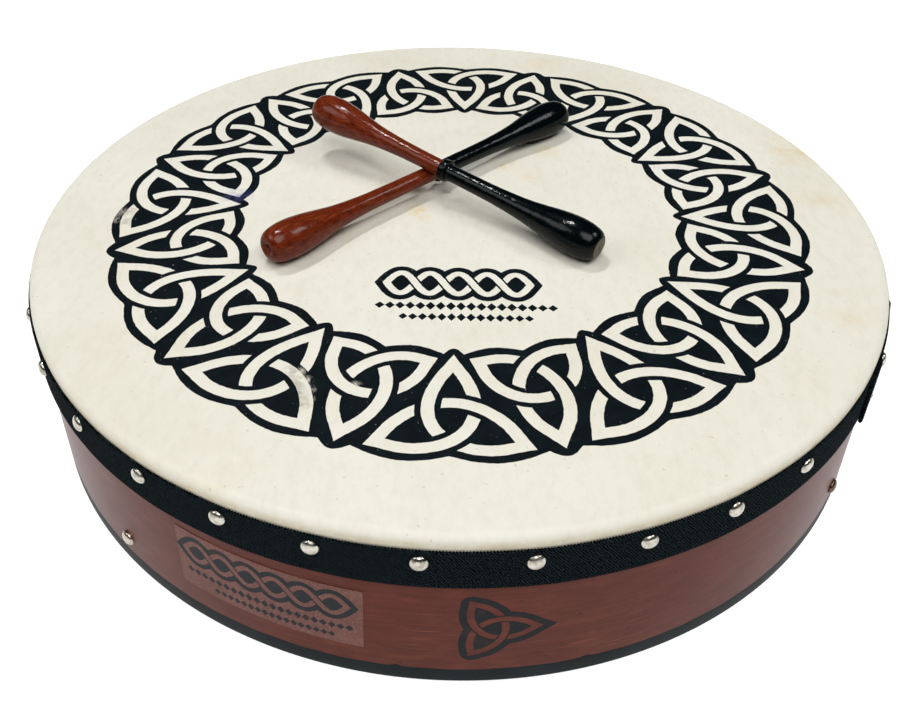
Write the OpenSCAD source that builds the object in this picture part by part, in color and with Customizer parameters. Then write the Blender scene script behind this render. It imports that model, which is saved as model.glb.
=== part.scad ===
// Bodhran: an Irish frame drum with a tacked goatskin head, a crossbar and a pair of tippers.
// The drum lies head up on its open rim. The origin is the centre of that rim, +Z is up,
// and bearings are degrees round the drum from the front (-Y), positive towards +X.

/* [Drum] */
// Outside diameter of the wooden hoop
drum_d = 456; // [400:1:480]
// Height from the open rim to the playing face of the skin
drum_h = 94.5; // [80:0.5:110]
// Wall thickness of the hoop
shell_t = 8; // [6:0.5:10]
// Radius of the bearing edge that the skin bends over
edge_r = 5; // [3:0.5:6]
// Rounding on the two corners of the open rim
rim_r = 1.5; // [0.5:0.25:2]

/* [Head] */
// Thickness of the goatskin
skin_t = 0.8; // [0.5:0.1:1.2]
// Depth of the skin that is turned down over the hoop
flap_h = 27; // [22:1:32]

/* [Webbing] */
// Thickness of the woven tape
tape_t = 1.2; // [0.8:0.1:1.6]
// Width of the woven tape
tape_h = 22; // [18:0.5:26]
// Distance from the playing face down to the tape's top edge
tape_drop = 6.4; // [5:0.2:8]
// Bearing of the tape's overlapping end
overlap_at = 55.5; // [45:0.5:58]
// Angle that the overlap covers, which ends short of the next tack
overlap_span = 6; // [4:0.5:6]
// How far the overlapping end hangs below the tape's lower edge
overlap_sag = 2.5; // [0:0.5:4]

/* [Tacks] */
// Diameter of a tack's domed head
tack_d = 8.4; // [7:0.1:10]
// Height of a tack's domed head
tack_dome_h = 2.4; // [1.5:0.1:3]
// Diameter of a tack's shank
tack_shank_d = 1.4; // [1:0.1:2]
// Distance from the playing face down to the row of tacks
tack_drop = 13; // [12:0.5:20]
// Number of equal steps round the drum, one of which the tape's overlap takes
tack_steps = 33; // [30:1:36]

/* [Crossbars] */
// Width of a bar
bar_w = 26; // [20:1:34]
// Thickness of a bar
bar_t = 12; // [10:0.5:16]
// Rounding along a bar's four long edges
bar_edge_r = 3; // [1:0.5:4]
// Height of the bars' centre above the open rim
bar_z = 19; // [12:0.5:24]
// Bearings of the two bars
bar_bearings = [-41.5, 55.5];

/* [Label] */
// Length of the maker's label along the hoop
label_w = 88; // [60:1:100]
// Height of the maker's label
label_h = 37; // [30:1:40]
// Thickness of the maker's label
label_t = 0.3; // [0.2:0.05:0.5]
// Bearing of the label's centre
label_at = -20.2; // [-24:0.1:-16]
// Height of the label's centre above the open rim
label_z = 39.5; // [36:0.5:44]
// Lean of the label, clockwise as it is read
label_lean = 1.6; // [0:0.1:3]

/* [Tippers] */
// Length of the lower tipper
lower_len = 226; // [200:1:240]
// Length of the upper tipper
upper_len = 198; // [190:1:220]
// Largest diameter of a tipper's knobs
knob_d = 21; // [18:0.5:24]
// Diameter of a tipper's shaft beside its ring
shaft_d = 9.2; // [8:0.2:10]
// Diameter of the turned ring at a tipper's middle
ring_d = 12.6; // [11:0.2:14]
// Width of the turned ring
ring_w = 4.6; // [3:0.2:6]
// How far the lower tipper's ring is from its middle, towards its black end
lower_ring_at = 5; // [4:0.5:8]
// How far the upper tipper's ring is from its middle, towards its black end
upper_ring_at = -2; // [-4:0.5:0]
// Middle of the lower tipper, seen from above
lower_xy = [-17.4, 22];
// Direction of the lower tipper, degrees from +X
lower_turn = 44.5; // [43:0.5:46]
// Middle of the upper tipper, seen from above
upper_xy = [-7, 10.2];
// Direction of the upper tipper, degrees from +X
upper_turn = -36.4; // [-38:0.2:-35]

/* [Hidden] */

$fn = 96;
eps = 0.02;                          // clearance of a shank in its hole, on the radius
over = 1;                            // how far a cutting solid runs past a face

shell_r = drum_d / 2;
bore_r = shell_r - shell_t;
shell_h = drum_h - skin_t;
flap_r = shell_r + skin_t;
tape_r = flap_r + tape_t;
tape_top = drum_h - tape_drop;
tape_low = tape_top - tape_h;
overlap_r = tape_r + tape_t;
fold_w = 3;                          // width of the doubled-over end of the tape, in millimetres

tack_z = drum_h - tack_drop;
tack_bite = 5.5;                     // depth of a tack's shank in the wood
tack_first = -2.9;                   // bearing of the tack nearest the front
tack_skip = 5;                       // step left out, where the tape overlaps
tack_nudge = [-0.3, 0, 0.6, 0, -0.2, 0, 0.2, 0.5, 0.9, 0.6, -0.1];   // hand spacing, degrees

nail_shank_d = 2;
nail_bite = 24;                      // depth of a crossbar nail's shank from the hoop's outside
pin_d = 2.4;
pin_dome_h = 0.7;
pin_shank_d = 0.9;
pin_bite = 6;
pin_places = [[57.4, 79.5], [58.6, 71.5]];   // bearing and height of each pin

screw_head_d = 7;
screw_d = 3.5;
screw_l = 10.5;
screw_sink = 2.2;                    // depth of the countersink's cone

knob_tip_d = 8.6;                    // flat face left by the lathe
lathe_hole_d = 2.6;
lathe_hole_l = 4;
rest_gap = 0.3;                      // air left under a tipper's knobs
cross_gap = 0.4;                     // air left between the tippers where they cross
// A tipper's outline from its end to its ring: distance from the end, share of the knob's radius
knob_line = [[0, 0.41], [1.2, 0.62], [4, 0.84], [9, 0.97], [15, 1], [21, 0.965], [28, 0.88], [36, 0.75],
    [46, 0.61], [58, 0.52], [72, 0.465]];
curve_steps = 5;                     // straight pieces between two points of that outline

// ---- helpers ----

// Places a child on the hoop's side: its +Z points outwards at bearing a, radius r and height z
module on_side(a, r, z) {
    rotate([0, 0, a]) translate([0, -r, z]) rotate([90, 0, 0]) children();
}

// Half section of a solid round block whose top corner is rounded
module round_top_section(r, top, corner, low = 0) {
    translate([0, low]) square([r, top - corner - low]);
    translate([0, low]) square([r - corner, top - low]);
    translate([r - corner, top - corner]) circle(corner);
}

// Half section of a ring from r0 to r1
module ring_section(r0, r1, low, top) {
    translate([r0, low]) square([r1 - r0, top - low]);
}

function tack_bearings() = [for (k = [-16 : 16]) if (k != tack_skip)
    tack_first + k * 360 / tack_steps + tack_nudge[(k + 22) % len(tack_nudge)]];

function nail_bearings() = [for (b = bar_bearings, half = [0, 180]) b + half];

// Domed nail: flat underside at z = 0, shank running down to a point
module domed_nail(d, dome_h, shank_d, shank_l) {
    ball_r = (d * d / 4 + dome_h * dome_h) / (2 * dome_h);
    point_l = shank_d;
    intersection() {
        translate([0, 0, dome_h - ball_r]) sphere(ball_r);
        cylinder(h = dome_h + over, r = d / 2);
    }
    translate([0, 0, -shank_l + point_l]) cylinder(h = shank_l - point_l + eps, d = shank_d);
    translate([0, 0, -shank_l]) cylinder(h = point_l, d1 = shank_d / 5, d2 = shank_d);
}

// Holes for one kind of nail, from the outside inwards
module nail_hole(shank_d, depth) {
    translate([0, 0, -depth]) cylinder(h = depth + over, r = shank_d / 2 + eps, $fn = 24);
}

module tack_holes() {
    for (a = tack_bearings()) on_side(a, tape_r, tack_z) nail_hole(tack_shank_d, tape_t + skin_t + tack_bite);
}

module pin_holes() {
    for (p = pin_places) on_side(p[0], overlap_r, p[1]) nail_hole(pin_shank_d, pin_bite);
}

module crossbar_nail_holes() {
    for (a = nail_bearings()) on_side(a, shell_r, bar_z) nail_hole(nail_shank_d, nail_bite);
}

// ---- drum ----

module shell_hoop() {
    color("#6b3a2e") difference() {
        rotate_extrude($fn = 180) difference() {
            round_top_section(shell_r, shell_h, edge_r);
            square([bore_r, shell_h - rim_r]);
            translate([0, shell_h - rim_r - eps]) square([bore_r + rim_r, rim_r + over]);
            rim_corner(shell_r, 1);
            rim_corner(bore_r, -1);
        }
        tack_holes();
        pin_holes();
        crossbar_nail_holes();
    }
}

// What the router takes off a corner of the open rim, on the outside (side 1) or inside (side -1)
module rim_corner(r, side) {
    difference() {
        translate([side > 0 ? r - rim_r : r - over, -over]) square([rim_r + over, rim_r + over]);
        translate([r - side * rim_r, rim_r]) circle(rim_r);
    }
}

module goatskin_head() {
    color("#e9e3cf") difference() {
        rotate_extrude($fn = 180) difference() {
            round_top_section(flap_r, drum_h, edge_r + skin_t, drum_h - flap_h);
            round_top_section(shell_r, shell_h, edge_r);
        }
        tack_holes();
        pin_holes();
    }
}

module webbing_tape() {
    color("#14181b") difference() {
        union() {
            rotate_extrude($fn = 180) ring_section(flap_r, tape_r, tape_low, tape_top);
            rotate([0, 0, overlap_at - 90]) rotate_extrude(angle = overlap_span, $fn = 180)
                ring_section(tape_r - eps, overlap_r, tape_low - overlap_sag, tape_top);
            rotate([0, 0, overlap_at - 90]) rotate_extrude(angle = fold_w / tape_r * 180 / PI, $fn = 180)
                ring_section(overlap_r - eps, overlap_r + tape_t / 2, tape_low - overlap_sag, tape_top);
        }
        tack_holes();
        pin_holes();
    }
}

module head_tacks() {
    color("#c9c7c0") for (a = tack_bearings()) on_side(a, tape_r, tack_z)
        domed_nail(tack_d, tack_dome_h, tack_shank_d, tape_t + skin_t + tack_bite);
}

module overlap_pins() {
    color("#b9b7b0") for (p = pin_places) on_side(p[0], overlap_r, p[1])
        domed_nail(pin_d, pin_dome_h, pin_shank_d, pin_bite);
}

// ---- crossbars ----

module bar_section() {
    square([bar_w - 2 * bar_edge_r, bar_t], center = true);
    square([bar_w, bar_t - 2 * bar_edge_r], center = true);
    for (x = [-1, 1], y = [-1, 1])
        translate([x * (bar_w / 2 - bar_edge_r), y * (bar_t / 2 - bar_edge_r)]) circle(bar_edge_r, $fn = 48);
}

// A whole bar at bearing a, its ends shaped to the hoop's bore
module bar_blank(a) {
    intersection() {
        rotate([0, 0, a]) translate([0, 0, bar_z]) rotate([90, 0, 0])
            linear_extrude(height = drum_d, center = true) bar_section();
        cylinder(h = shell_h, r = bore_r, $fn = 180);
    }
}

// The housing that one bar leaves in the other: half a bar deep, from height z0 up
module lap_housing(a, z0) {
    rotate([0, 0, a]) translate([-bar_w / 2 - eps, -drum_d / 2, z0]) cube([bar_w + 2 * eps, drum_d, bar_t / 2 + over]);
}

module lower_crossbar() {
    color("#d9b27c") difference() {
        bar_blank(bar_bearings[0]);
        lap_housing(bar_bearings[1], bar_z);
        crossbar_nail_holes();
        lap_screw_hole();
    }
}

module upper_crossbar() {
    color("#d3aa73") difference() {
        bar_blank(bar_bearings[1]);
        lap_housing(bar_bearings[0], bar_z - bar_t / 2 - over);
        crossbar_nail_holes();
        lap_screw_hole();
    }
}

module lap_screw_hole() {
    low = bar_z - bar_t / 2;
    translate([0, 0, low - over]) cylinder(h = screw_l + over + eps, r = screw_d / 2 + eps, $fn = 48);
    translate([0, 0, low]) cylinder(h = screw_sink, d1 = screw_head_d + 2 * eps, d2 = screw_d + 2 * eps, $fn = 48);
    translate([0, 0, low - over]) cylinder(h = over, r = screw_head_d / 2 + eps, $fn = 48);
}

// Countersunk cross-head screw that holds the lap, driven up from the open side
module lap_screw() {
    low = bar_z - bar_t / 2;
    slot_w = 1;
    slot_l = 4.2;
    slot_h = 1.3;
    color("#8f8b80") difference() {
        translate([0, 0, low]) union() {
            cylinder(h = screw_sink, d1 = screw_head_d, d2 = screw_d, $fn = 48);
            cylinder(h = screw_l - screw_d, d = screw_d, $fn = 48);
            translate([0, 0, screw_l - screw_d]) cylinder(h = screw_d, d1 = screw_d, d2 = 0.6, $fn = 48);
        }
        for (turn = [0, 90]) rotate([0, 0, turn + bar_bearings[0]])
            translate([-slot_l / 2, -slot_w / 2, low - over]) cube([slot_l, slot_w, slot_h + over]);
    }
}

module crossbar_nails() {
    color("#b6a68e") for (a = nail_bearings()) on_side(a, shell_r, bar_z)
        domed_nail(tack_d, tack_dome_h, nail_shank_d, nail_bite);
}

// ---- label ----

module side_label() {
    corner = 1.5;
    color("#8a5f58") intersection() {
        rotate_extrude($fn = 180) ring_section(shell_r, shell_r + label_t, 0, shell_h);
        on_side(label_at, shell_r - shell_t / 2 - 10, label_z) rotate([0, 0, -label_lean])
            linear_extrude(height = shell_t + 20) label_outline(corner);
    }
}

module label_outline(corner) {
    square([label_w - 2 * corner, label_h], center = true);
    square([label_w, label_h - 2 * corner], center = true);
    for (x = [-1, 1], y = [-1, 1])
        translate([x * (label_w / 2 - corner), y * (label_h / 2 - corner)]) circle(corner, $fn = 24);
}

// ---- tippers ----

// Point at t (0 to 1) on the smooth curve through b and c, with neighbours a and d
function smooth(a, b, c, d, t) = 0.5 * (2 * b + (c - a) * t + (2 * a - 5 * b + 4 * c - d) * t * t
    + (3 * b - a - 3 * c + d) * t * t * t);

// Outline of one side of a tipper along x, from its end to its ring's edge. side_l ends at the ring's middle
function side_line(side_l, knob_r, shaft_r) = let (
        waist = [side_l - ring_w / 2, shaft_r],
        pts = [for (p = knob_line) [p[0], p[1] * knob_r], waist],
        n = len(pts))
    [for (i = [0 : n - 2], s = [0 : curve_steps - 1])
        smooth(pts[max(i - 1, 0)], pts[i], pts[i + 1], pts[min(i + 2, n - 1)], s / curve_steps), waist];

// A turned tipper along X, centred on the origin, with its ring at x = ring_at
module tipper(len, ring_at) {
    left = side_line(len / 2 + ring_at, knob_d / 2, shaft_d / 2);
    right = side_line(len / 2 - ring_at, knob_d / 2, shaft_d / 2);
    groove_r = shaft_d / 2 - 0.35;
    rotate([0, 90, 0]) difference() {
        rotate_extrude($fn = 96) union() {
            polygon([[0, -len / 2], for (p = left) [p[1], p[0] - len / 2], [groove_r, ring_at - ring_w / 2],
                [groove_r, ring_at + ring_w / 2],
                for (i = [len(right) - 1 : -1 : 0]) [right[i][1], len / 2 - right[i][0]], [0, len / 2]]);
            translate([0, ring_at]) ring_bead();
        }
        for (end = [-1, 1]) translate([0, 0, end * len / 2 - (end > 0 ? lathe_hole_l : over)])
            cylinder(h = lathe_hole_l + over, d = lathe_hole_d, $fn = 32);
    }
}

// Half section of the turned ring: a flat band with rounded edges
module ring_bead() {
    round_r = 0.9;
    translate([0, -ring_w / 2]) square([ring_d / 2 - round_r, ring_w]);
    translate([0, -ring_w / 2 + round_r]) square([ring_d / 2, ring_w - 2 * round_r]);
    for (side = [-1, 1]) translate([ring_d / 2 - round_r, side * (ring_w / 2 - round_r)]) circle(round_r, $fn = 32);
}

lower_z = drum_h + rest_gap + knob_d / 2;
// Distance along the upper tipper from its middle to where it crosses the lower one's shaft
gap_xy = upper_xy - lower_xy;
cross_at = (gap_xy[0] * sin(lower_turn) - gap_xy[1] * cos(lower_turn)) / sin(upper_turn - lower_turn);
cross_z = lower_z + shaft_d + cross_gap;
// The upper tipper leans from the crossing down to one knob, which touches where it is knob_rest_r thick
knob_rest_r = knob_d / 2 * 0.972;
knob_rest_at = upper_len / 2 - 9.5;
upper_lean = atan((cross_z - knob_rest_r - rest_gap - drum_h) / (knob_rest_at - cross_at));
upper_z = cross_z + cross_at * tan(upper_lean);

module lower_tipper() {
    color("#7a2f1c") translate([lower_xy[0], lower_xy[1], lower_z])
        rotate([0, 0, lower_turn]) tipper(lower_len, lower_ring_at);
}

module upper_tipper() {
    color("#7a2f1c") translate([upper_xy[0], upper_xy[1], upper_z])
        rotate([0, 0, upper_turn]) rotate([0, upper_lean, 0]) tipper(upper_len, upper_ring_at);
}

shell_hoop();
goatskin_head();
webbing_tape();
head_tacks();
overlap_pins();
lower_crossbar();
upper_crossbar();
lap_screw();
crossbar_nails();
side_label();
lower_tipper();
upper_tipper();
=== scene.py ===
import math
import random

import bpy
import numpy as np
from mathutils import Matrix, Vector, noise
from mathutils.geometry import delaunay_2d_cdt


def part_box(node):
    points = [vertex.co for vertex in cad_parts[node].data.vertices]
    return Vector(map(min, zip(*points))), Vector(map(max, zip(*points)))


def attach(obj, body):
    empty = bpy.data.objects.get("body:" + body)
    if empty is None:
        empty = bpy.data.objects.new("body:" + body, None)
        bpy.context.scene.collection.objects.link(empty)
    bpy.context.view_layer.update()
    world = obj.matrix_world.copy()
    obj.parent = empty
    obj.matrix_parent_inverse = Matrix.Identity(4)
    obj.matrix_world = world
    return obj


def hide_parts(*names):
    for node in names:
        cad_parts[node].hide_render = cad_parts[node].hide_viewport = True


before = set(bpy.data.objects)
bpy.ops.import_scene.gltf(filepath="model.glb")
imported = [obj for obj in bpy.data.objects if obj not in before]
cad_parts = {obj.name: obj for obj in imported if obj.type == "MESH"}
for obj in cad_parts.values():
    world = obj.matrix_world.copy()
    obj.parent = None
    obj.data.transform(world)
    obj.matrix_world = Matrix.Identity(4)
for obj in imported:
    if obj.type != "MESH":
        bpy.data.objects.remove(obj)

noise.seed_set(1)               # or else noise_vector differs from run to run

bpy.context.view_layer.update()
MM = 0.001

# ---- sizes taken from the frame ----
HOOP_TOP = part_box("shell_hoop")[1]
SKIN_LOW, SKIN_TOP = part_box("goatskin_head")
TAPE_LOW, TAPE_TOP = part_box("webbing_tape")
HOOP_R, HOOP_H = HOOP_TOP.x, HOOP_TOP.z
SKIN_R, DRUM_H = SKIN_TOP.x, SKIN_TOP.z
SKIN_T = DRUM_H - HOOP_H

# ---- sizes that the frame doesn't state ----
WALL_T = 8 * MM                 # the hoop's wall
BEARING_R = 3.4 * MM            # rounding of the hoop's top edge
RIM_R = 1.5 * MM                # rounding of the open rim
TAPE_T = 1.2 * MM
OVERLAP_SAG = 2.5 * MM          # how far the tape's loose end hangs below the rest
OVERLAP_FROM, OVERLAP_TO = 55.5, 61.5
BAND_H = 9.4 * MM               # painted band at the open rim
NAIL_D, NAIL_H = 7.8 * MM, 2.3 * MM     # domed head of a tack or a nail
PIN_D, PIN_H = 2.4 * MM, 0.65 * MM
FILM_SINK = 0.05 * MM           # how deep the label's film sits in the hoop, so that no air shows
SKIN_PRINT_STEP = 1.5 * MM      # spacing of vertices along the border's lines
STAGE_HALF = 6                  # half the floor's side
ROUND_STEPS = 360               # faces round the drum
FLAT_R = SKIN_R - BEARING_R - SKIN_T    # where the skin starts to bend over the edge
BORE_R = HOOP_R - WALL_T
TAPE_TOP_R = SKIN_R + TAPE_T
TAPE_LOW_Z = TAPE_LOW.z + OVERLAP_SAG


SQUARE = ((-1, -1), (1, -1), (1, 1), (-1, 1))   # corner signs, anticlockwise


# ================= mesh helpers =================

def bearing(deg, r, z=None):
    """Point on the drum at a bearing: 2D without a height, 3D with one."""
    a = math.radians(deg)
    flat = (r * math.sin(a), -r * math.cos(a))
    return Vector(flat) if z is None else Vector((*flat, z))


def make_piece(name, verts, faces, materials, body, replaced=(), face_materials=None, uvs=None,
               place=None):
    mesh = bpy.data.meshes.new(name)
    mesh.from_pydata(verts, [], faces)
    for m in materials:
        mesh.materials.append(m)
    if face_materials is not None:
        mesh.polygons.foreach_set("material_index", face_materials)
    mesh.polygons.foreach_set("use_smooth", [True] * len(mesh.polygons))
    if uvs is not None:
        layer = mesh.uv_layers.new(name="around_and_up")
        layer.data.foreach_set("uv", [c for uv in uvs for c in uv])
    mesh.update()
    obj = bpy.data.objects.new(name, mesh)
    bpy.context.scene.collection.objects.link(obj)
    if place:
        obj.matrix_world = place
    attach(obj, body)
    if replaced:
        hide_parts(*replaced)
    return obj


def sharpen(obj, degrees):
    """Keeps edges crisp where faces turn by more than this."""
    obj.data.set_sharp_from_angle(angle=math.radians(degrees))


def band_faces(rings, closed=False):
    """Faces between neighbouring rings of vertices. A ring that is one repeated vertex is a pole."""
    pairs = list(zip(rings, rings[1:]))
    if closed:
        pairs.append((rings[-1], rings[0]))
    faces = []
    for low, high in pairs:
        for i in range(len(low)):
            j = (i + 1) % len(low)
            quad = [low[i], low[j], high[j], high[i]]
            faces.append([v for k, v in enumerate(quad) if v != quad[k - 1]])
    return faces


def lathe(profile, steps):
    """Verts and rings of a profile of (r, z) points turned about Z. Points with r = 0 become poles."""
    verts, rings = [], []
    for r, z in profile:
        if r < 1e-9:
            rings.append([len(verts)] * steps)
            verts.append(Vector((0, 0, z)))
            continue
        rings.append(list(range(len(verts), len(verts) + steps)))
        verts += [bearing(360 * i / steps, r, z) for i in range(steps)]
    return verts, rings


def arc(cx, cz, r, a0, a1, steps):
    """Points on an arc from a0 to a1 degrees, measured from +r towards +z."""
    angles = [math.radians(a0 + (a1 - a0) * i / steps) for i in range(steps + 1)]
    return [(cx + r * math.cos(a), cz + r * math.sin(a)) for a in angles]


def smooth_path(points, step):
    """Even curve through 2D points, with a vertex about every step."""
    pts = [points[0] * 2 - points[1], *points, points[-1] * 2 - points[-2]]
    out = []
    for a, b, c, d in zip(pts, pts[1:], pts[2:], pts[3:]):
        count = max(2, round((c - b).length / step))
        for i in range(count):
            t = i / count
            out.append(0.5 * (2 * b + (c - a) * t + (2 * a - 5 * b + 4 * c - d) * t * t
                              + (3 * b - a - 3 * c + d) * t ** 3))
    return out + [points[-1]]


def ribbon(path, half):
    """Outline of a strip along a path."""
    left, right = [], []
    for i, p in enumerate(path):
        way = (path[min(i + 1, len(path) - 1)] - path[max(i - 1, 0)]).normalized()
        off = Vector((-way.y, way.x)) * half
        left.append(p + off)
        right.append(p - off)
    return left + right[::-1]


def step_up(x, low, high):
    """0 below low, 1 above high, smooth between."""
    t = min(1.0, max(0.0, (x - low) / (high - low)))
    return t * t * (3 - 2 * t)


# ================= printed artwork =================

class Print:
    """Flat artwork made of polygons, the first of which is its sheet."""

    def __init__(self, sheet, ragged=0.0):
        self.polygons, self.ragged = [sheet], ragged
        # Each entry is (polygon, its cutters): the ink's ground, and what is left bare in it
        self.ground, self.bare = [], []

    def add(self, points):
        if self.ragged:
            points = [p + self.ragged * Vector(noise.noise_vector(Vector((p.x, p.y, 0)) * 700)[:2])
                      for p in points]
        area = sum(a.x * b.y - b.x * a.y for a, b in zip(points, points[1:] + points[:1]))
        self.polygons.append(points if area > 0 else points[::-1])
        return len(self.polygons) - 1

    def is_ink(self, ids):
        def shows(entries):
            return any(polygon in ids and not ids & cutters for polygon, cutters in entries)
        return shows(self.ground) and not shows(self.bare)

    def cut(self, slices=()):
        """(points, triangles, ink per triangle, index of each of the sheet's corners)."""
        points, faces, edges = [], [], []
        for polygon in self.polygons:
            faces.append(list(range(len(points), len(points) + len(polygon))))
            points += polygon
        for a, b in slices:
            edges.append((len(points), len(points) + 1))
            points += [a, b]
        out, _, tris, sources, _, inside = delaunay_2d_cdt(points, edges, faces, 1, 1e-8, True)
        corners = [0] * len(self.polygons[0])
        for i, source in enumerate(sources):
            for k in source:
                if k < len(corners):
                    corners[k] = i
        keep = [(t, set(ids)) for t, ids in zip(tris, inside) if 0 in ids]
        return out, [t for t, _ in keep], [self.is_ink(ids) for _, ids in keep], corners


def crossing(path_a, path_b):
    """Point on path_b where the two paths cross, away from the ends that they may share."""
    a, b = (path[len(path) // 7: -len(path) // 7] for path in (path_a, path_b))
    gap = np.linalg.norm(np.array(a)[:, None] - np.array(b)[None], axis=2)
    return b[int(np.unravel_index(gap.argmin(), gap.shape)[1])]


def corner_kites(arcs, half):
    """Fills the mitre where each arc ends and the next begins."""
    kites = []
    for path, after in zip(arcs, arcs[1:] + arcs[:1]):
        way_in = (path[-1] - path[-2]).normalized()
        way_out = (after[1] - after[0]).normalized()
        turn = way_in.x * way_out.y - way_in.y * way_out.x
        side = -half if turn > 0 else half
        a = path[-1] + side * Vector((-way_in.y, way_in.x))
        b = path[-1] + side * Vector((-way_out.y, way_out.x))
        t = ((b.x - a.x) * way_out.y - (b.y - a.y) * way_out.x) / turn
        kites.append([a, a + way_in * t, b, path[-1]])
    return kites


def add_knot(art, arcs, half, gap, reach):
    """A three-cornered knot of bare strands. Each arc passes under the next one."""
    for i, path in enumerate(arcs):
        upper = arcs[(i + 1) % 3]
        cross = crossing(path, upper)
        part = [p for p in upper if (p - cross).length < reach]
        art.bare.append((art.add(ribbon(path, half)), {art.add(ribbon(part, half + gap))}))
    for kite in corner_kites(arcs, half):
        art.bare.append((art.add(kite), set()))


# The border's knot in (degrees from its tip, share of the skin's radius). It is symmetric: a strand runs
# from the tip to each foot, crossing the axis on its way, and a third runs over from foot to foot.
KNOT_TIP, KNOT_FOOT = (0, 0.793), (10, 0.562)
SIDE_PULLS = ((-8.5, 0.66), (-1.5, 0.525))      # where the side strand leaves towards and arrives from
TOP_PULL = (7, 0.72)                            # the same for the top strand, at one foot
# The border's outline bulges out from notch to notch
NOTCHES, NOTCH_SHARE, BULGE_SHARE = (-2.2, 2.2, 15, 27.8), 0.817, 0.018


def cubic(a, b, c, d, steps=8):
    """Points on the curve from a to d which leaves a towards b and reaches d from c."""
    out = []
    for i in range(steps + 1):
        t = i / steps
        weights = ((1 - t) ** 3, 3 * t * (1 - t) ** 2, 3 * t * t * (1 - t), t ** 3)
        out.append(tuple(sum(w * p[j] for w, p in zip(weights, (a, b, c, d))) for j in (0, 1)))
    return out


def mirrored(points):
    return [(-a, r) for a, r in points[::-1]]


def bulge(start, end):
    """One bulge of the border's outline, half a sine wave."""
    return [(start + (end - start) * i / 4, NOTCH_SHARE + BULGE_SHARE * math.sin(math.pi * i / 4))
            for i in range(5)]


SIDE_STRAND = cubic(KNOT_TIP, *SIDE_PULLS, KNOT_FOOT)
TOP_STRAND = cubic(KNOT_FOOT, TOP_PULL, *mirrored((KNOT_FOOT, TOP_PULL)))
KNOT_ARCS = (SIDE_STRAND, TOP_STRAND, mirrored(SIDE_STRAND))
BORDER_BULGES = [bulge(*ends) for ends in zip(NOTCHES, NOTCHES[1:])]
BORDER_COUNT = 12
BORDER_FIRST = 14.3             # bearing of one outward knot's tip
BORDER_PERIOD = 360 / BORDER_COUNT
KNOT_TURN = (15, 1.36)          # an inward knot is an outward one turned half round about half of this
OUTLINE_TURN = (15, 1.356)      # and the same for the border's inner outline
STRAND_HALF = 0.0128 * SKIN_R
STRAND_GAP = 0.0125 * SKIN_R


def border_path(points, k, turn, step):
    """One line of the border for period k, on the flat skin. turn is None or the half turn's constants."""
    if turn:
        points = [(turn[0] - a, turn[1] - r) for a, r in points]
    return smooth_path([bearing(BORDER_FIRST + k * BORDER_PERIOD + a, r * SKIN_R) for a, r in points], step)


def add_border(art, step):
    outer, inner = [], []
    for k in range(BORDER_COUNT):
        for line in BORDER_BULGES:
            outer += border_path(line, k, None, step)[:-1]
        for line in reversed(BORDER_BULGES):
            inner += border_path(line[::-1], k, OUTLINE_TURN, step)[:-1]
    art.ground.append((art.add(outer), {art.add(inner)}))
    for k in range(BORDER_COUNT):
        for turn in (None, KNOT_TURN):
            arcs = [border_path(line, k, turn, step) for line in KNOT_ARCS]
            add_knot(art, arcs, STRAND_HALF, STRAND_GAP, 13 * MM)


def add_plait(art, centre, size, half, outline, gap, crossings, spin=0.0):
    """A two-strand plait left bare in an outline of ink, lying along X. size is (length, height)."""
    turn = Matrix.Rotation(spin, 2)
    length, tall = size[0] - 2 * outline, size[1] / 2 - half - outline
    count = 8 * (crossings + 1)
    paths = []
    for side in (-1, 1):
        points = []
        for i in range(count + 1):
            wave = math.sin(math.pi * i / 8) * side * tall
            points.append(centre + turn @ Vector(((i / count - 0.5) * length, wave)))
        paths.append(smooth_path(points, MM))
    eye = (len(paths[0]) - 1) / (crossings + 1)
    stops = [round(eye * k) for k in range(crossings + 2)]
    for start, stop in zip(stops, stops[1:]):
        art.ground.append((art.add(paths[0][start:stop] + paths[1][stop:start:-1]), set()))
    loop = [paths[0], paths[1][::-1]]
    for kite in corner_kites(loop, half + outline):
        art.ground.append((art.add(kite), set()))
    for kite in corner_kites(loop, half):
        art.bare.append((art.add(kite), set()))
    for side, (path, other) in enumerate(zip(paths, paths[::-1])):
        art.ground.append((art.add(ribbon(path, half + outline)), set()))
        cutters = set()
        for k, stop in enumerate(stops[1:-1]):
            if k % 2 == side:
                part = [p for p in other if (p - other[stop]).length < 3.4 * half]
                cutters.add(art.add(ribbon(part, half + gap)))
        art.bare.append((art.add(ribbon(path, half)), cutters))


def add_lozenges(art, centre, length, size, spin=0.0):
    """A row of small lozenges, taller in the middle, lying along X."""
    turn = Matrix.Rotation(spin, 2)
    count = round(length / (size * 0.95))
    for i in range(count):
        x = (i + 0.5) / count - 0.5
        w, h = size * 0.46, size * (0.46 + 0.14 * math.cos(math.pi * x))
        shape = [(-w, 0), (0, -h), (w, 0), (0, h)]
        art.ground.append((art.add([centre + turn @ Vector((x * length + a, b)) for a, b in shape]), set()))


# ================= materials =================

def screen(r, g, b):
    """Linear colour from the 0 to 255 values that a screen shows."""
    def line(c):
        c /= 255
        return c / 12.92 if c <= 0.04045 else ((c + 0.055) / 1.055) ** 2.4
    return (line(r), line(g), line(b), 1)


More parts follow.
